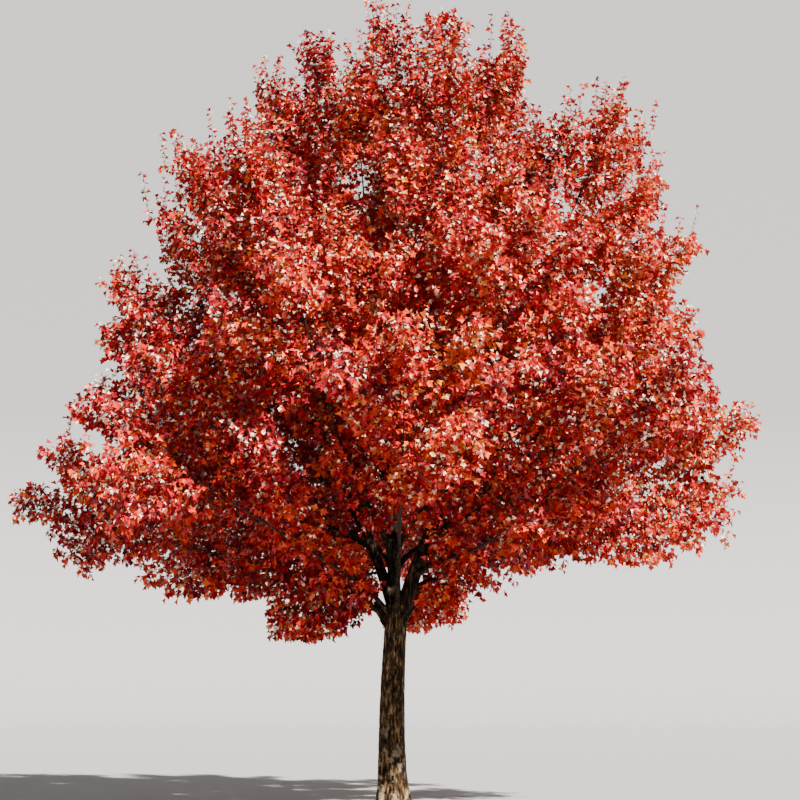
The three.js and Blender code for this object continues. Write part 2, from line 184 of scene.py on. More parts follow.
# Each order of twigs: spacing is the metres between pairs, first how far up the parent they
# start, angle the degrees off it, and thinning the depths between which they grow fuller
TWIG_RULES = {
    "side": dict(
        spacing=0.1, first=0.08, angle=38, length=0.64, shortening=0.3, lift=0.10, upward=0.20,
        radius=0.0042, stretch=0.975, thinning=(0.5, 0.92),
    ),
    "shoot": dict(
        spacing=0.185, first=0.15, angle=40, length=0.25, shortening=0.35, lift=0.08, upward=0.15,
        radius=0.0022, stretch=0.99, thinning=(0.4, 0.85),
    ),
    "leading": dict(
        length=0.62, lengths=(0.5, 1.2), shortest=0.12, lift=0.02, radius=0.0045, stretch=1.05,
        outward=0.3, along=0.1, sway=0.08, outer=0.8, share=0.6,
        steepness=(0.70, 0.86), chances=(0.02, 1),
    ),
    "bough": dict(
        spacing=0.14, length=0.55, lengths=(0.5, 1.2), lift=0.05, along=0.6, upward=0.1,
        radius=0.0035,
    ),
}
BRANCH_ROLL_SWAY = 0.35
BRANCH_ANGLE_SWAY = 7
BRANCH_LENGTHS = (0.6, 1.15)
LONGEST_BRANCH = 0.8
SHRINKS = (1.0, 0.7, 0.45)
GROWTH_SEED = 2024

# Round the fork the wood is bare, and so is the thickest leader
BARE_PLACE = 0.2
BARE_RADIUS = 0.5
BARE_TOP = 4.0
BARE_LIMB = "leader_right"

# The bark's relief: long ridges, and fine cracks between them
RIDGE_WIDTH = 0.034
RIDGE_LENGTH = 0.16
RIDGE_SLOPE = 1.6
RIDGE_DEPTH = 0.75
CRACK_DENSITY = 3.5
CRACK_DEPTH = 0.35
RELIEF_SHARE = 0.055
RELIEF_SINK = 0.5
FEWEST_RIDGES = 6
COLLAR = 0.25
COLLAR_LENGTH = 2.2
TRUNK_SEED = 11
LIMB_SEED = 100

# Rings and sides of each skin and tube, and the share of its radius that a twig has at its tip
TRUNK_GRID = (260, 132)
LEADER_GRID = (110, 56)
BOUGH_GRID = (44, 26)
STEM_RINGS = 18
STEM_SIDES = 8
MAIN_TUBE = dict(rings=7, sides=5, tip_share=0.3)
SIDE_TUBE = dict(rings=3, sides=3, tip_share=0.45)
SHOOT_TUBE = dict(rings=2, sides=3, tip_share=0.4)
CURVE_SAMPLES = 50
TANGENT_STEP = 1e-3

# Added before a vector is scaled to a length of 1, in case it comes out as zero
FRAME_NUDGE = 1e-9
FLAT_NUDGE = 1e-6

# Leaves: three lobes in four triangles, folded a little along the midrib
LEAF_LENGTH = 0.109
LEAF_SIZES = (0.7, 1.15)
LEAF_SPACING = 0.1
LEAF_START = 0.12
LEADING_LEAF_SCALE = 0.85
LEADING_LEAF_SPACING = 0.75
LEAF_ALONG = 0.5
LEAF_ASIDE = 0.8
LEAF_DROOP = 0.55
LEAF_SWAY = 0.25
LEAF_FACING_OUT = 0.5
LEAF_FACING_UP = 0.5
LEAF_TILT = 0.65
LEAF_RIM = np.array([
    [0.0, 0.0, 0.0],
    [0.58, 0.49, 0.17],
    [0.63, 0.24, 0.06],
    [1.0, 0.0, -0.18],
    [0.63, -0.24, 0.06],
    [0.58, -0.49, 0.17],
])
LEAF_FACES = np.array([[0, 1, 2], [0, 2, 3], [0, 3, 4], [0, 4, 5]])
MOST_LEAVES = 48000

# Autumn tints, from the coolest to the warmest, dealt out by spray. The last one is pale: partly
# the leaves' paler undersides and partly painted glints. It is dealt out by how far out the spray
# is, with more of it on the outside of the masses, where the light falls.
TINTS = {
    "wine": (0.070, 0.002, 0.005),
    "crimson": (0.22, 0.003, 0.012),
    "cherry": (0.37, 0.006, 0.014),
    "scarlet": (0.53, 0.019, 0.013),
    "vermilion": (0.64, 0.052, 0.014),
    "coral": (0.74, 0.135, 0.022),
    "rust": (0.42, 0.070, 0.010),
    "amber": (0.82, 0.300, 0.030),
    # Pale undersides, which also serve as painted glints
    "pale_underside_and_glint": (0.98, 0.74, 0.54),
}
TINT_EDGES = (0.14, 0.28, 0.42, 0.56, 0.68, 0.78, 0.88)
PALE_TINT = len(TINTS) - 1
PALE_DEPTHS = (0.4, 0.8)
PALE_SHARES = (0.09, 0.25)
PALE_SCALE = 0.64
WARMTH = 0.42
# Painted shade: the left side, away from the key light, is dealt cooler and darker tints
LEFT_PAINTED_SHADE = 0.10
LEFT_EDGE = 5.5
TOP_WARMTH = 0.06
TINTED_HEIGHT = 9
MASS_TINT_DRAWS = 64
MASS_TINT_SWAY = 0.02
TWIG_TINT_SWAY = 0.045
SPRAY_TINT_SWAY = 0.09
LEAF_TINT_SWAY = 0.15

# Materials. The bark has dark cracks between brown ridges, and pale patches near the ground.
LEAF_ROUGHNESS = 0.35
LEAF_SPECULAR = 0.3
BARK_SPECULAR = 0.15
TWIG_COLOR = (0.024, 0.015, 0.012)
TWIG_ROUGHNESS = 0.8
BARK_COLOR = (0.05, 0.035, 0.026)
BARK_ROUGHNESS = 0.9
BARK_RAMP = (
    (0.42, (0.002, 0.0012, 0.0008)),
    (0.53, (0.045, 0.024, 0.009)),
    (0.66, (0.27, 0.16, 0.075)),
)
# Painted shade: the leaders and boughs take the trunk's bark darkened by this factor, for the
# crown's shade over them
BOUGH_PAINTED_SHADE = 0.3
GRAIN_STRETCH = (22, 22, 5)
GRAIN = dict(Scale=1.4, Detail=9, Roughness=0.62)
BUMP = dict(Strength=0.55, Distance=0.012)
PATCHES = dict(Scale=9, Detail=6)
PATCH_EDGE = dict(From_Min=0.54, From_Max=0.64)
PATCH_HEIGHT = dict(From_Min=1.25, From_Max=0.2, To_Min=0.06)
PATCH_COLOR = (0.33, 0.25, 0.165)


# Seeded draws and directions, the same as in the part's source

def seeded_random(seed):
    """Draws from 0 to 1 by the mulberry32 rule."""
    word = 2 ** 32 - 1
    state = seed & word

    def draw():
        nonlocal state
        state = (state + 0x6D2B79F5) & word
        mixed = ((state ^ (state >> 15)) * (state | 1)) & word
        mixed ^= (mixed + (mixed ^ (mixed >> 7)) * (mixed | 61)) & word
        return (mixed ^ (mixed >> 14)) / 2 ** 32

    return draw


def swing(draw, size):
    return (2 * draw() - 1) * size


def lerp(ends, share):
    return ends[0] + (ends[1] - ends[0]) * share


def unit(vectors):
    return vectors / np.linalg.norm(vectors, axis=-1, keepdims=True)


def direction(azimuth, rise):
    turn = math.radians(azimuth)
    lift = math.radians(rise)
    level = math.cos(lift)
    return np.array([level * math.cos(turn), level * math.sin(turn), math.sin(lift)])


# Curves: each takes an array of shares from 0 to 1 and gives points

def trunk_curve(t):
    t = np.asarray(t, float)
    lean = FORK_LEAN * t * t - TRUNK_BEND * np.sin(math.pi * t)
    return np.stack([lean, np.zeros_like(t), FORK_HEIGHT * t], -1)


def bezier(start, bend, end):
    def curve(t):
        t = np.asarray(t, float)[..., None]
        return (1 - t) ** 2 * start + 2 * t * (1 - t) * bend + t * t * end

    return curve


def tangent(curve, t):
    low = max(t - TANGENT_STEP, 0)
    high = min(t + TANGENT_STEP, 1)
    return unit(curve(high) - curve(low))


def curve_length(curve):
    points = curve(np.linspace(0, 1, CURVE_SAMPLES))
    return np.linalg.norm(np.diff(points, axis=0), axis=1).sum()


# The limbs

def make_limbs():
    limbs = []
    seed = 1
    for name, tier in TIERS.items():
        for place in range(tier["count"]):
            limbs.append(make_limb(name, tier, place, seed))
            seed += 1
    return limbs


def blend(values, azimuth):
    """Blend of four values, which hold at the right, the back, the left and the front."""
    right, back, left, front = values
    across = math.cos(math.radians(azimuth))
    away = math.sin(math.radians(azimuth))
    by_side = across ** 2 * (right if across > 0 else left)
    return by_side + away ** 2 * (back if away > 0 else front)


def make_limb(name, tier, place, seed):
    draw = seeded_random(seed)
    key = f"{name}_{place + 1}"
    leader = LEADERS.get(key)
    plain = tier["turn"] + 360 / tier["count"] * place
    away = abs(math.sin(math.radians(plain)))
    azimuth = plain + swing(draw, AZIMUTH_SWAY) * away
    rise = blend(tier["rise"], azimuth) + swing(draw, RISE_SWAY) * away
    sizes = {size: blend(tier[size], azimuth) for size in ("reach", "entry", "floor")}
    return dict(
        tier, key=key, tier=name, place=place, azimuth=azimuth, draw=draw, seed=seed,
        heading=direction(azimuth, rise), leader=leader,
        node=f"leader_{leader[0]}" if leader else f"bough_{key}",
        girth=leader[1] if leader else tier["girth"],
    ) | sizes


def choose_seat(limb, leaders):
    """The curve that a limb is rooted on, and how far up it."""
    across = math.cos(math.radians(limb["azimuth"]))
    side = leaders["right"] if across > 0 else leaders["left"]
    is_side = abs(across) > SIDE_SHARE
    is_right = across > SIDE_SHARE
    seats = {
        "top": (leaders["centre"], TOP_SEATS),
        "upper": (side, UPPER_SEATS),
        "middle": (side, MIDDLE_SIDE_SEATS) if is_side else (leaders["centre"], MIDDLE_SEATS),
        "low": (leaders["right"], LOW_RIGHT_SEATS) if is_right else (None, LOW_SEATS),
        "under": (None, UNDER_SEATS),
    }
    if limb["leader"]:
        return trunk_curve, limb["leader"][2]
    parent, ends = seats[limb["tier"]]
    curve = parent["curve"] if parent else trunk_curve
    return curve, lerp(ends, limb["place"] / limb["count"])


def limb_curve(limb, leaders):
    curve, at = choose_seat(limb, leaders)
    foot = curve(at)
    tip = FORK + limb["heading"] * limb["entry"]
    start = unit(unit(tip - foot) + tangent(curve, at) * FOOT_UPSWEEP)
    bend = foot + start * np.linalg.norm(tip - foot) / 2
    return bezier(foot, bend, tip)


def stem_curve(mass):
    along = tangent(mass["curve"], 1)
    start = mass["curve"](1)
    tip = FORK + mass["heading"] * (mass["reach"] - mass["leaf"] * STEM_STOPS_SHORT)
    span = np.linalg.norm(tip - start)
    return bezier(start, start + along * span * STEM_LEAD, tip)


# The space of each mass of foliage, for arrays of points and of the masses that own them

class FoliageSpace:
    def __init__(self, masses):
        self.headings = np.array([mass["heading"] for mass in masses])
        self.reach = np.array([mass["reach"] for mass in masses])
        self.floor = np.array([mass["floor"] for mass in masses])
        self.notch = np.array([mass["notch"] for mass in masses])
        self.filling = np.array([GROWTH[mass["tier"]]["filling"] for mass in masses])
        self.tier = np.array([list(TIERS).index(mass["tier"]) for mass in masses])
        likeness = self.headings @ self.headings.T
        np.fill_diagonal(likeness, -1)
        self.nearest = likeness.max(1)

    def shares(self, points, owner):
        """How near each point's direction is to its own mass's, to the next mass's, and whose."""
        rays = unit(points - FORK)
        likeness = rays @ self.headings.T
        rows = np.arange(len(points))
        own = likeness[rows, owner]
        likeness[rows, owner] = -1
        return own, likeness.max(1), likeness.argmax(1)

    def reach_at(self, points, owner):
        own, rival, who = self.shares(points, owner)
        centrality = np.clip((own - rival) / (1 - self.nearest[owner]), 0, 1)
        factor = np.where(self.tier[who] == self.tier[owner], *NOTCH_FACTORS)
        notch = self.notch[owner] * factor * (1 - centrality) ** NOTCH_POWER
        return self.reach[owner] * (1 - notch)

    def wall_distance(self, point, owner):
        others = np.delete(self.headings, owner, axis=0)
        walls = self.headings[owner] - others
        return ((walls @ (point - FORK)) / np.linalg.norm(walls, axis=1)).min()

    def depth(self, points, owner):
        """How far out each point lies, as a share of its mass's reach in that direction."""
        return np.linalg.norm(points - FORK, axis=1) / self.reach_at(points, owner)

    def holds(self, points, owner, stretch):
        own, rival, _ = self.shares(points, owner)
        near = self.depth(points, owner) <= stretch
        above = points[:, 2] > self.floor[owner]
        return near & (own > rival - OVERLAP) & above & (points[:, 2] < SHOOT_TOP)


def room_along(space, owner, start, heading, longest):
    """How far a main twig can grow before it leaves its mass's space."""
    length = 0
    own = np.array([owner])
    while length < longest:
        point = start + heading * (length + STRIDE)
        inside = np.linalg.norm(point - FORK) <= space.reach_at(point[None], own)[0]
        clear = space.wall_distance(point, owner) >= TWIG_CLEARANCE
        if not (inside and clear and point[2] >= space.floor[owner]):
            return length
        length += STRIDE
    return longest


# Meshes from arrays

def mesh_object(name, verts, faces, material, smooth=False):
    mesh = bpy.data.meshes.new(name)
    sides = faces.shape[1]
    mesh.vertices.add(len(verts))
    mesh.vertices.foreach_set("co", np.ascontiguousarray(verts, np.float32).ravel())
    mesh.loops.add(faces.size)
    mesh.loops.foreach_set("vertex_index", np.ascontiguousarray(faces, np.int32).ravel())
    mesh.polygons.add(len(faces))
    mesh.polygons.foreach_set("loop_start", np.arange(0, faces.size, sides, dtype=np.int32))
    mesh.update(calc_edges=True)
    mesh.polygons.foreach_set("use_smooth", np.full(len(faces), smooth))
    mesh.materials.append(material)
    made = bpy.data.objects.new(name, mesh)
    bpy.context.scene.collection.objects.link(made)
    return made


def add_piece(name, verts, faces, material, nodes, slot, smooth=False):
    piece = mesh_object(name, verts, faces, material, smooth)
    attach(piece, "root")
    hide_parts(*nodes)


def ring_frames(points):
    """Two directions across each curve at each of its points, which turn as little as they can."""
    along = unit(np.gradient(points, axis=-2))
    side = np.zeros_like(points)
    last = np.broadcast_to([1.0, 0.0, 0.0], points[..., 0, :].shape)
    for i in range(points.shape[-2]):
        step = along[..., i, :]
        last = unit(last - step * (last * step).sum(-1, keepdims=True) + FRAME_NUDGE)
        side[..., i, :] = last
    return side, np.cross(side, along)


def ring_angles(sides):
    return np.linspace(0, 2 * math.pi, sides, endpoint=False)


def spokes(points, sides):
    """Directions from each point of a curve to the sides of its ring: (..., rings, sides, 3)."""
    side, other = ring_frames(points)
    angle = ring_angles(sides)[:, None]
    return side[..., None, :] * np.cos(angle) + other[..., None, :] * np.sin(angle)


def tube(points, radii):
    """One tube as quads with open ends: points (rings, 3), radii (rings, sides)."""
    sides = radii.shape[1]
    verts = points[:, None] + spokes(points, sides) * radii[..., None]
    ring = np.arange(len(points) - 1)[:, None] * sides
    here = np.arange(sides)
    after = (here + 1) % sides
    faces = np.stack([ring + here, ring + after, ring + sides + after, ring + sides + here], -1)
    return verts.reshape(-1, 3), faces.reshape(-1, 4)[:, ::-1]


def thin_tubes(points, radii, sides):
    """Many pointed tubes at once: points (tubes, rings, 3), radii (tubes, rings)."""
    rings = (points[:, :, None] + spokes(points, sides) * radii[:, :, None, None])[:, :-1]
    count, last = rings.shape[:2]
    body = rings.reshape(count, -1, 3)
    verts = np.concatenate([body, points[:, -1:]], axis=1)
    start = np.arange(count)[:, None, None] * verts.shape[1]
    here = np.arange(sides)
    after = (here + 1) % sides
    low = np.arange(last - 1)[:, None] * sides
    lower = np.stack([low + here, low + sides + after, low + after], -1).reshape(-1, 3)
    upper = np.stack([low + here, low + sides + here, low + sides + after], -1).reshape(-1, 3)
    end = (last - 1) * sides
    tip = np.stack([end + here, np.full(sides, last * sides), end + after], -1)
    faces = np.concatenate([lower, upper, tip])[None] + start
    return verts.reshape(-1, 3), faces.reshape(-1, 3)


def join(parts):
    verts = []
    faces = []
    start = 0
    for part_verts, part_faces in parts:
        verts.append(part_verts)
        faces.append(part_faces + start)
        start += len(part_verts)
    return np.concatenate(verts), np.concatenate(faces)


# Skins with the bark's relief, from smooth lattice noise

def ease(share):
    return share * share * (3 - 2 * share)


def lattice_noise(around, along, wrap, rng):
    """Values from 0 to 1, smooth between the knots of a random table that closes round the limb."""
    rows = int(along.max()) + 2
    table = rng.random((rows + 1, wrap))
    low = np.floor(along).astype(int)
    left = np.floor(around).astype(int)
    fy = ease(along - low)
    fx = ease(around - left)
    first = table[low, left % wrap] * (1 - fx) + table[low, (left + 1) % wrap] * fx
    second = table[low + 1, left % wrap] * (1 - fx) + table[low + 1, (left + 1) % wrap] * fx
    return first * (1 - fy) + second * fy


def bark_relief(angle, distance, radius, rng):
    """Outward shift of a limb's skin, by the angle round it and the distance along it."""
    wrap = max(FEWEST_RIDGES, round(2 * math.pi * radius / RIDGE_WIDTH))
    around = angle / (2 * math.pi) * wrap
    along = distance / RIDGE_LENGTH
    drift = lattice_noise(around / 2 % (wrap / 2), along / 2, wrap // 2, rng)
    coarse = lattice_noise(around + drift, along, wrap, rng)
    fine = lattice_noise(2 * around, along * CRACK_DENSITY, 2 * wrap, rng)
    ridge = 1 - np.abs(2 * coarse - 1) * RIDGE_SLOPE
    crack = np.abs(2 * fine - 1)
    return RELIEF_SHARE * radius * (RIDGE_DEPTH * ridge + CRACK_DEPTH * crack - RELIEF_SINK)


def trunk_skin():
    rings, sides = TRUNK_GRID
    points = trunk_curve(np.linspace(0, 1, rings))
    height = points[:, 2:]
    angle = ring_angles(sides)[None]
    taper = TRUNK_TAPER * np.maximum(0, 1 - height / TAPER_HEIGHT)
    flare = FLARE * np.exp(-height / FLARE_HEIGHT)
    radii = TRUNK_TOP_RADIUS + taper + flare * (1 + BUTTRESS_DEPTH * np.cos(BUTTRESSES * angle))
    rng = np.random.default_rng(TRUNK_SEED)
    verts, faces = tube(points, radii + bark_relief(angle, height, TRUNK_TOP_RADIUS, rng))
    verts[:sides, 2] = 0
    return verts, faces


def limb_skin(limb, grid):
    rings, sides = grid
    t = np.linspace(0, 1, rings)
    girth = limb["girth"]
    distance = (t * curve_length(limb["curve"]))[:, None]
    radius = girth * lerp((1, LIMB_TIP_SHARE), t)[:, None]
    collar = 1 + COLLAR * np.exp(-distance / (COLLAR_LENGTH * girth))
    rng = np.random.default_rng(LIMB_SEED + limb["seed"])
    relief = bark_relief(ring_angles(sides)[None], distance, girth, rng)
    return tube(limb["curve"](t), radius * collar + relief * radius / girth)


# Twigs, held as arrays: where each is rooted, where it points, its length, lift and radius,
# the mass that owns it and the twig that it grows on

def twig_points(twigs, which, share):
    reach = (twigs["length"][which] * share)[..., None]
    lift = (twigs["lift"][which] * twigs["length"][which] * share ** 2)[..., None]
    return twigs["root"][which] + twigs["heading"][which] * reach + UP * lift


def main_twigs(masses, space):
    rows = []
    for owner, mass in enumerate(masses):
        rows.extend(mass_twigs(mass, owner, space))
    columns = list(zip(*rows))
    names = ("root", "heading", "length", "lift", "radius", "owner")
    return {name: np.array(column) for name, column in zip(names, columns)}


def mass_twigs(mass, owner, space):
    """The source's pairs of main twigs on one stem, the pairs between them, and a last twig."""
    draw = mass["draw"]
    stem = mass["stem"]
    pairs = mass["pairs"]
    step = (LAST_PAIR - FIRST_PAIR) / (pairs - 1)
    roll = draw() * 360
    rows = []
    parts = GROWTH[mass["tier"]]["pairs_between"]
    between = [pair + part for pair in range(pairs - 1) for part in parts]
    for pair in [*range(pairs), *between]:
        share = FIRST_PAIR + step * pair
        root = stem(share)
        along = tangent(stem, share)
        flat = unit(np.cross(along, UP))
        over = np.cross(along, flat)
        for turn in (0, 180):
            around = math.radians(roll + PAIR_TURN * pair + turn + swing(draw, ROLL_SWAY))
            lateral = flat * math.cos(around) + over * math.sin(around)
            angle = math.radians(TWIG_ANGLE + swing(draw, TWIG_ANGLE_SWAY))
            heading = unit(along * math.cos(angle) + lateral * math.sin(angle))
            nominal = TWIG_SHARE * mass["reach"] * (1 - TWIG_SHORTENING * share)
            longest = nominal * (1 + swing(draw, TWIG_SWAY))
            length = room_along(space, owner, root, heading, longest)
            if length > SHORTEST_MAIN_TWIG:
                girth = lerp((mass["girth"] * LIMB_TIP_SHARE, STEM_TIP_RADIUS), share)
                radius = MAIN_GIRTH_SHARE * girth
                rows.append((root, heading, length, MAIN_LIFT, radius, owner))
    root = stem(LAST_PAIR)
    last = stem(1.0) - root
    span = np.linalg.norm(last)
    length = span * (1 + mass["leaf"] / span * TIP_TWIG_EXTRA)
    rows.append((root, unit(last), length, 0.0, STEM_TIP_RADIUS * TIP_TWIG_GIRTH, owner))
    return rows


def side_rolls(parents, rng, spacing, first):
    """Places for opposite pairs along every parent, each pair a quarter turn from the last."""
    count = np.maximum(1, np.round(parents["length"] * (1 - first) / spacing).astype(int))
    which = np.repeat(np.arange(len(count)), count)
    number = np.arange(len(which)) - np.repeat(np.cumsum(count) - count, count)
    share = first + (number + 0.5) / count[which] * (1 - first)
    base = rng.random(len(count)) * 2 * math.pi
    roll = base[which] + number * math.pi / 2
    both = np.concatenate([roll, roll + math.pi])
    return np.concatenate([which, which]), np.concatenate([share, share]), both


def sideways(along, roll):
    """Directions at right angles to each of the given ones, turned round it by its roll."""
    flat = unit(np.cross(along, UP) + FLAT_NUDGE)
    over = np.cross(along, flat)
    return flat * np.cos(roll)[:, None] + over * np.sin(roll)[:, None]


def fit_in(space, root, heading, length, owner, stretch):
    """Shorten twigs until they keep to their mass's space; those that never fit come out as 0."""
    kept = np.zeros(len(length))
    for shrink in SHRINKS:
        tips = root + heading * (length * shrink)[:, None]
        fits = (kept == 0) & space.holds(tips, owner, stretch)
        kept[fits] = length[fits] * shrink
    return kept


def branch(parents, space, rng, rule):
    """Opposite pairs of twigs along every parent, fewer of them deep inside the tree."""
    which, share, roll = side_rolls(parents, rng, rule["spacing"], rule["first"])
    roll = roll + rng.normal(0, BRANCH_ROLL_SWAY, len(roll))
    root = twig_points(parents, which, share)
    along = parents["heading"][which]
    lean = np.radians(rule["angle"] + rng.normal(0, BRANCH_ANGLE_SWAY, len(which)))[:, None]
    aside = sideways(along, roll)
    heading = unit(along * np.cos(lean) + aside * np.sin(lean) + UP * rule["upward"])
    plain = rule["length"] * (1 - rule["shortening"] * share)
    length = plain * rng.uniform(*BRANCH_LENGTHS, len(which))
    length = np.minimum(length, parents["length"][which] * LONGEST_BRANCH)
    owner = parents["owner"][which]
    length = fit_in(space, root, heading, length, owner, rule["stretch"])
    inner, outer = rule["thinning"]
    fullness = np.clip((space.depth(root, owner) - inner) / (outer - inner), 0, 1)
    chance = lerp((space.filling[owner], 1), fullness)
    keep = (length > 0) & (rng.random(len(which)) < chance) & ~is_bare(root)
    return make_twigs(root, heading, length, owner, which, rule, keep)


def make_twigs(root, heading, length, owner, which, rule, keep):
    size = len(which)
    twigs = dict(
        root=root, heading=heading, length=length, owner=owner, parent=which,
        lift=np.full(size, rule["lift"]), radius=np.full(size, rule["radius"]),
    )
    return {name: values[keep] for name, values in twigs.items()}


def leading_shoots(parents, space, rng, rule):
    """Thin upright shoots that grow on from the outermost twigs."""
    count = len(parents["length"])
    which = np.arange(count)
    root = twig_points(parents, which, np.ones(count))
    owner = parents["owner"]
    outward = unit(root - FORK)
    lean = outward * rule["outward"] + UP + parents["heading"] * rule["along"]
    heading = unit(lean + rng.normal(0, rule["sway"], root.shape))
    length = rule["length"] * rng.uniform(*rule["lengths"], count)
    length = fit_in(space, root, heading, length, owner, rule["stretch"])
    outer = np.linalg.norm(root - FORK, axis=1) > rule["outer"] * space.reach[owner]
    chance = np.interp(outward[:, 2], rule["steepness"], rule["chances"]) * rule["share"]
    keep = outer & (length > rule["shortest"]) & (rng.random(count) < chance)
    return make_twigs(root, heading, length, owner, which, rule, keep)


def is_bare(points):
    distance = np.hypot(points[:, 0] - BARE_PLACE, points[:, 1])
    return (distance < BARE_RADIUS) & (points[:, 2] < BARE_TOP)


def bough_sprays(masses, rng, rule):
    """Short leafy twigs on the boughs, most on those that spread to the sides."""
    rows = []
    for owner, mass in enumerate(masses):
        if mass["node"] == BARE_LIMB:
            continue
        aside = abs(math.cos(math.radians(mass["azimuth"])))
        growth = GROWTH[mass["tier"]]
        length = curve_length(mass["curve"])
        number = int(length / rule["spacing"] * growth["crowding"] * aside)
        for share in lerp(growth["sprays"], rng.random(number)):
            curve = mass["curve"] if share < 1 else mass["stem"]
            along = tangent(curve, share % 1)
            across = sideways(along[None], rng.random(1) * 2 * math.pi)[0]
            heading = unit(along * rule["along"] + across + UP * rule["upward"])
            longest = rule["length"] * rng.uniform(*rule["lengths"])
            rows.append((curve(share % 1), heading, longest, owner))
    root, heading, length, owner = (np.array(column) for column in zip(*rows))
    return make_twigs(root, heading, length, owner, owner, rule, ~is_bare(root))


def grow_twigs(masses, space, rng):
    """Every order of twigs: the main ones, the side ones, their shoots and the leading shoots."""
    main = main_twigs(masses, space)
    side = branch(main, space, rng, TWIG_RULES["side"])
    leading = leading_shoots(side, space, rng, TWIG_RULES["leading"])
    sprays = bough_sprays(masses, rng, TWIG_RULES["bough"])
    side = {name: np.concatenate([side[name], sprays[name]]) for name in side}
    shoots = branch(side, space, rng, TWIG_RULES["shoot"])
    return main, side, shoots, leading


def twig_tubes(twigs, rings, sides, tip_share):
    share = np.linspace(0, 1, rings)
    which = np.arange(len(twigs["length"]))[:, None]
    points = twig_points(twigs, which, np.broadcast_to(share, (len(which), rings)))
    radii = twigs["radius"][:, None] * (1 - (1 - tip_share) * share)
    return thin_tubes(points, radii, sides)


def stem_tubes(masses):
    share = np.linspace(0, 1, STEM_RINGS)
    points = np.array([mass["stem"](share) for mass in masses])
    foot = np.array([mass["girth"] * LIMB_TIP_SHARE for mass in masses])[:, None]
    radii = foot + (STEM_TIP_RADIUS - foot) * share
    return thin_tubes(points, radii, STEM_SIDES)


# Leaves

def leaves_on(twigs, rng, spacing):
    """Opposite pairs of leaves along every twig, and one at its tip."""
    which, share, roll = side_rolls(twigs, rng, spacing, LEAF_START)
    count = len(twigs["length"])
    tips = np.arange(count)
    outward = np.concatenate([np.ones(len(which)), np.zeros(count)])
    return dict(
        which=np.concatenate([which, tips]), share=np.concatenate([share, np.ones(count)]),
        roll=np.concatenate([roll, np.zeros(count)]), outward=outward,
    )


def leaf_arrays(twigs, places, rng, scale):
    """Each leaf's base, heading, side and facing, and its length."""
    which = places["which"]
    base = twig_points(twigs, which, places["share"])
    along = twigs["heading"][which]
    lateral = sideways(along, places["roll"]) * places["outward"][:, None]
    lean = along * LEAF_ALONG + lateral * LEAF_ASIDE - UP * LEAF_DROOP
    heading = unit(lean + rng.normal(0, LEAF_SWAY, base.shape))
    outward = base - FORK
    outward[:, 2] = 0
    facing = unit(outward) * LEAF_FACING_OUT + UP * LEAF_FACING_UP
    facing = facing + rng.normal(0, LEAF_TILT, base.shape)
    facing = unit(facing - heading * (facing * heading).sum(1, keepdims=True))
    side = np.cross(facing, heading)
    size = LEAF_LENGTH * scale * rng.uniform(*LEAF_SIZES, len(base))
    return base, heading, side, facing, size


def leaf_mesh(base, heading, side, facing, size):
    rim = LEAF_RIM[None] * size[:, None, None]
    verts = base[:, None] + rim[..., :1] * heading[:, None]
    verts = verts + rim[..., 1:2] * side[:, None] + rim[..., 2:] * facing[:, None]
    start = np.arange(len(base))[:, None, None] * len(LEAF_RIM)
    return verts.reshape(-1, 3), (LEAF_FACES[None] + start).reshape(-1, 3)


def spray_warmth(twigs, parents, rng):
    """How warm each spray's tint is, from 0 to 1."""
    position = twigs["root"]
    by_mass = rng.normal(0, MASS_TINT_SWAY, MASS_TINT_DRAWS)[twigs["owner"]]
    by_twig = rng.normal(0, TWIG_TINT_SWAY, len(parents["length"]))[twigs["parent"]]
    by_spray = rng.normal(0, SPRAY_TINT_SWAY, len(position))
    height = (position[:, 2] - FORK_HEIGHT) / TINTED_HEIGHT
    leftness = np.clip(-position[:, 0] / LEFT_EDGE, -1, 1)
    # Painted shade: sprays on the left, the side away from the key light, take cooler, darker tints
    warm = WARMTH - LEFT_PAINTED_SHADE * leftness + TOP_WARMTH * height
    return warm + by_mass + by_twig + by_spray


def leaf_tints(warmth, depth, rng):
    """The number of each leaf's tint."""
    varied = warmth + rng.normal(0, LEAF_TINT_SWAY, len(warmth))
    tint = np.searchsorted(np.array(TINT_EDGES), varied)
    share = np.interp(depth, PALE_DEPTHS, PALE_SHARES)
    # Painted glints and real undersides: more leaves get the pale tint out on the outside of the
    # masses, where the light falls
    tint[rng.random(len(tint)) < share] = PALE_TINT
    return tint


# Materials

def principled(name, color, roughness, specular=0.5):
    material = bpy.data.materials.new(name)
    material.use_nodes = True
    shader = material.node_tree.nodes["Principled BSDF"]
    shader.inputs["Base Color"].default_value = (*color, 1)
    shader.inputs["Roughness"].default_value = roughness
    shader.inputs["Specular IOR Level"].default_value = specular
    return material, shader


def add_node(tree, kind, **values):
    """A shader node with some of its inputs set, each by its name with _ for the blanks."""
    node = tree.nodes.new(kind)
    for name, value in values.items():
        node.inputs[name.replace("_", " ")].default_value = value
    return node


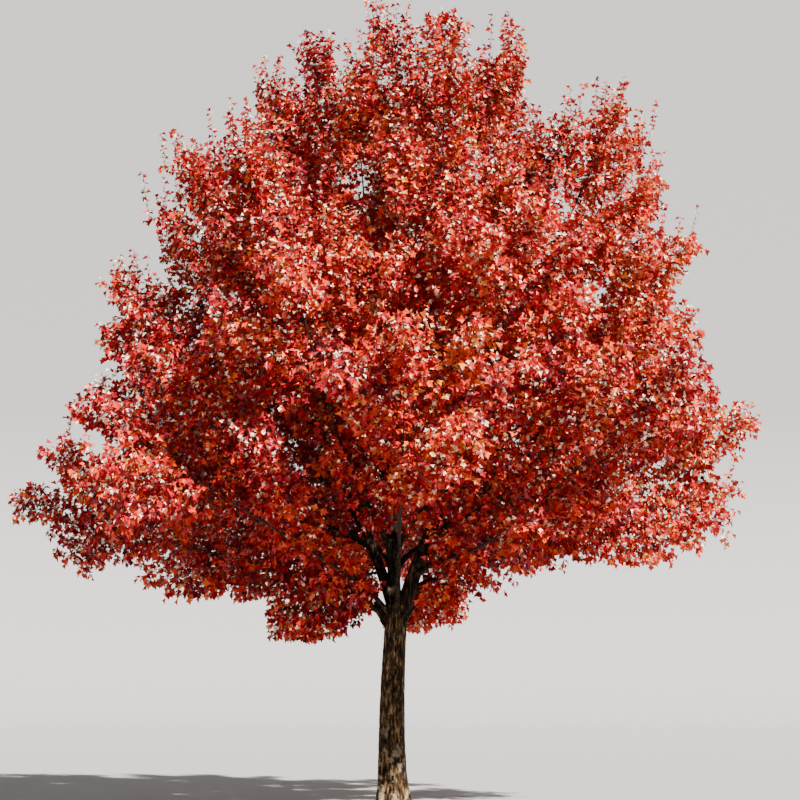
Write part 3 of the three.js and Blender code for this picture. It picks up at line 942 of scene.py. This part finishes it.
def bark_material(name, shade):
    material, shader = principled(name, BARK_COLOR, BARK_ROUGHNESS, BARK_SPECULAR)
    tree = material.node_tree

    # Every colour of the bark is scaled by shade. Below 1 this is painted shade.
    def tint(color):
        return (*(part * shade for part in color), 1)

    def link(source, output, target, entry):
        tree.links.new(source.outputs[output], target.inputs[entry])

    coordinates = add_node(tree, "ShaderNodeTexCoord")
    stretch = add_node(tree, "ShaderNodeMapping", Scale=GRAIN_STRETCH)
    grain = add_node(tree, "ShaderNodeTexNoise", **GRAIN)
    link(coordinates, "Object", stretch, "Vector")
    link(stretch, "Vector", grain, "Vector")

    colors = add_node(tree, "ShaderNodeValToRGB")
    elements = colors.color_ramp.elements
    dark, brown, light = BARK_RAMP
    elements[0].position, elements[0].color = dark[0], tint(dark[1])
    elements[1].position, elements[1].color = light[0], tint(light[1])
    elements.new(brown[0]).color = tint(brown[1])
    link(grain, "Fac", colors, "Fac")

    patches = add_node(tree, "ShaderNodeTexNoise", **PATCHES)
    patch_edge = add_node(tree, "ShaderNodeMapRange", **PATCH_EDGE)
    link(coordinates, "Object", patches, "Vector")
    link(patches, "Fac", patch_edge, "Value")

    place = add_node(tree, "ShaderNodeSeparateXYZ")
    low = add_node(tree, "ShaderNodeMapRange", **PATCH_HEIGHT)
    link(coordinates, "Object", place, "Vector")
    link(place, "Z", low, "Value")

    patchy = add_node(tree, "ShaderNodeMath")
    patchy.operation = "MULTIPLY"
    link(patch_edge, "Result", patchy, 0)
    link(low, "Result", patchy, 1)

    pale = add_node(tree, "ShaderNodeMix")
    pale.data_type = "RGBA"
    pale.inputs["B"].default_value = tint(PATCH_COLOR)
    link(colors, "Color", pale, "A")
    link(patchy, "Value", pale, "Factor")
    link(pale, "Result", shader, "Base Color")

    bump = add_node(tree, "ShaderNodeBump", **BUMP)
    link(grain, "Fac", bump, "Height")
    link(bump, "Normal", shader, "Normal")
    return material


# Stage

def make_camera():
    data = bpy.data.cameras.new("camera")
    data.sensor_width = SENSOR_WIDTH
    data.lens = FOCAL_PIXELS / IMAGE_SIZE * SENSOR_WIDTH
    data.clip_end = CLIP_END
    camera = bpy.data.objects.new("camera", data)
    aside = (IMAGE_SIZE / 2 - TRUNK_COLUMN) / FOCAL_PIXELS * CAMERA_DISTANCE
    camera.location = (aside, -CAMERA_DISTANCE, EYE_HEIGHT)
    camera.rotation_euler = (math.pi / 2 + CAMERA_PITCH, 0, 0)
    bpy.context.scene.collection.objects.link(camera)
    bpy.context.scene.camera = camera


def make_backdrop():
    """A pale floor that curves up into a wall far behind the tree."""
    turn = np.linspace(0, math.pi / 2, WALL_STEPS)
    curve_y = WALL_PLACE - WALL_CURVE + WALL_CURVE * np.sin(turn)
    curve_z = WALL_CURVE - WALL_CURVE * np.cos(turn)
    profile_y = np.concatenate([[-FLOOR_HALF], curve_y, [WALL_PLACE]])
    profile_z = np.concatenate([[0], curve_z, [WALL_HEIGHT]])
    left = np.stack([np.full_like(profile_y, -FLOOR_HALF), profile_y, profile_z], -1)
    right = left * (-1, 1, 1)
    rows = np.arange(len(left) - 1)
    faces = np.stack([rows, rows + len(left), rows + len(left) + 1, rows + 1], -1)
    material, _ = principled("backdrop", BACKDROP_COLOR, BACKDROP_ROUGHNESS)
    verts = np.concatenate([left, right])
    backdrop = mesh_object("backdrop", verts, faces, material, smooth=True)


def make_key_light():
    data = bpy.data.lights.new("key", "SUN")
    data.energy = KEY_ENERGY
    data.angle = KEY_ANGLE
    data.color = KEY_COLOR
    light = bpy.data.objects.new("key", data)
    light.rotation_euler = Vector(KEY_HEADING).to_track_quat("-Z", "Y").to_euler()
    bpy.context.scene.collection.objects.link(light)


def make_surround():
    world = bpy.data.worlds.new("studio")
    world.use_nodes = True
    background = world.node_tree.nodes["Background"]
    background.inputs["Color"].default_value = SURROUND_COLOR
    background.inputs["Strength"].default_value = SURROUND_STRENGTH
    bpy.context.scene.world = world


def make_stage():
    make_camera()
    make_backdrop()
    make_key_light()
    make_surround()


# The tree

def make_bark(limbs):
    bark = bark_material("trunk_bark", 1)
    # The leaders and boughs get a darker copy of the bark, as painted shade from the crown
    shaded = bark_material("bough_bark", BOUGH_PAINTED_SHADE)
    add_piece("trunk_bark", *trunk_skin(), bark, ["trunk"], "bark", smooth=True)
    boughs = []
    for limb in limbs:
        node = limb["node"]
        if limb["leader"]:
            skin = limb_skin(limb, LEADER_GRID)
            add_piece(f"{node}_bark", *skin, shaded, [node], "bark", smooth=True)
        else:
            boughs.append(limb)
    skin = join([limb_skin(limb, BOUGH_GRID) for limb in boughs])
    nodes = [limb["node"] for limb in boughs]
    add_piece("bough_bark", *skin, shaded, nodes, "bark", smooth=True)


def make_twig_pieces(masses, main, fine, shoots, nodes):
    wood, _ = principled("twig_bark", TWIG_COLOR, TWIG_ROUGHNESS, BARK_SPECULAR)
    add_piece("branches", *stem_tubes(masses), wood, nodes, "bark", smooth=True)
    add_piece("main_twigs", *twig_tubes(main, **MAIN_TUBE), wood, nodes, "bark", smooth=True)
    side_tubes = join([twig_tubes(twigs, **SIDE_TUBE) for twigs in fine])
    add_piece("side_twigs", *side_tubes, wood, nodes, "bark")
    add_piece("shoots", *twig_tubes(shoots, **SHOOT_TUBE), wood, nodes, "bark")


def make_leaf_pieces(arrays, tints, nodes):
    for number, (name, color) in enumerate(TINTS.items()):
        chosen = np.flatnonzero(tints == number)
        material, _ = principled(f"leaf_{name}", color, LEAF_ROUGHNESS, LEAF_SPECULAR)
        for piece, start in enumerate(range(0, len(chosen), MOST_LEAVES), 1):
            part = chosen[start:start + MOST_LEAVES]
            verts, faces = leaf_mesh(*(values[part] for values in arrays))
            add_piece(f"leaves_{name}_{piece}", verts, faces, material, nodes, "leaves")


def make_foliage(masses):
    space = FoliageSpace(masses)
    nodes = [f"foliage_{mass['key']}" for mass in masses]
    rng = np.random.default_rng(GROWTH_SEED)
    main, side, shoots, leading = grow_twigs(masses, space, rng)
    make_twig_pieces(masses, main, (side, leading), shoots, nodes)
    warmth = spray_warmth(side, main, rng)
    leading_spacing = LEAF_SPACING * LEADING_LEAF_SPACING
    leafy = (
        (side, warmth, 1.0, LEAF_SPACING),
        (shoots, warmth[shoots["parent"]], 1.0, LEAF_SPACING),
        (leading, warmth[leading["parent"]], LEADING_LEAF_SCALE, leading_spacing),
    )
    groups = []
    tints = []
    for twigs, warm, scale, spacing in leafy:
        places = leaves_on(twigs, rng, spacing)
        groups.append(leaf_arrays(twigs, places, rng, scale))
        depth = space.depth(twigs["root"], twigs["owner"])
        tints.append(leaf_tints(warm[places["which"]], depth[places["which"]], rng))
    tints = np.concatenate(tints)
    base, heading, side, facing, size = (np.concatenate(column) for column in zip(*groups))
    # The pale leaves are made smaller, because the painted glints are small
    size = np.where(tints == PALE_TINT, size * PALE_SCALE, size)
    make_leaf_pieces((base, heading, side, facing, size), tints, nodes)


def make_tree():
    limbs = make_limbs()
    leaders = {limb["leader"][0]: limb for limb in limbs if limb["leader"]}
    # The leaders come first, because the boughs are rooted on them
    for limb in [*leaders.values(), *(limb for limb in limbs if not limb["leader"])]:
        limb["curve"] = limb_curve(limb, leaders)
        limb["stem"] = stem_curve(limb)
    make_bark(limbs)
    make_foliage(limbs)


make_stage()
make_tree()
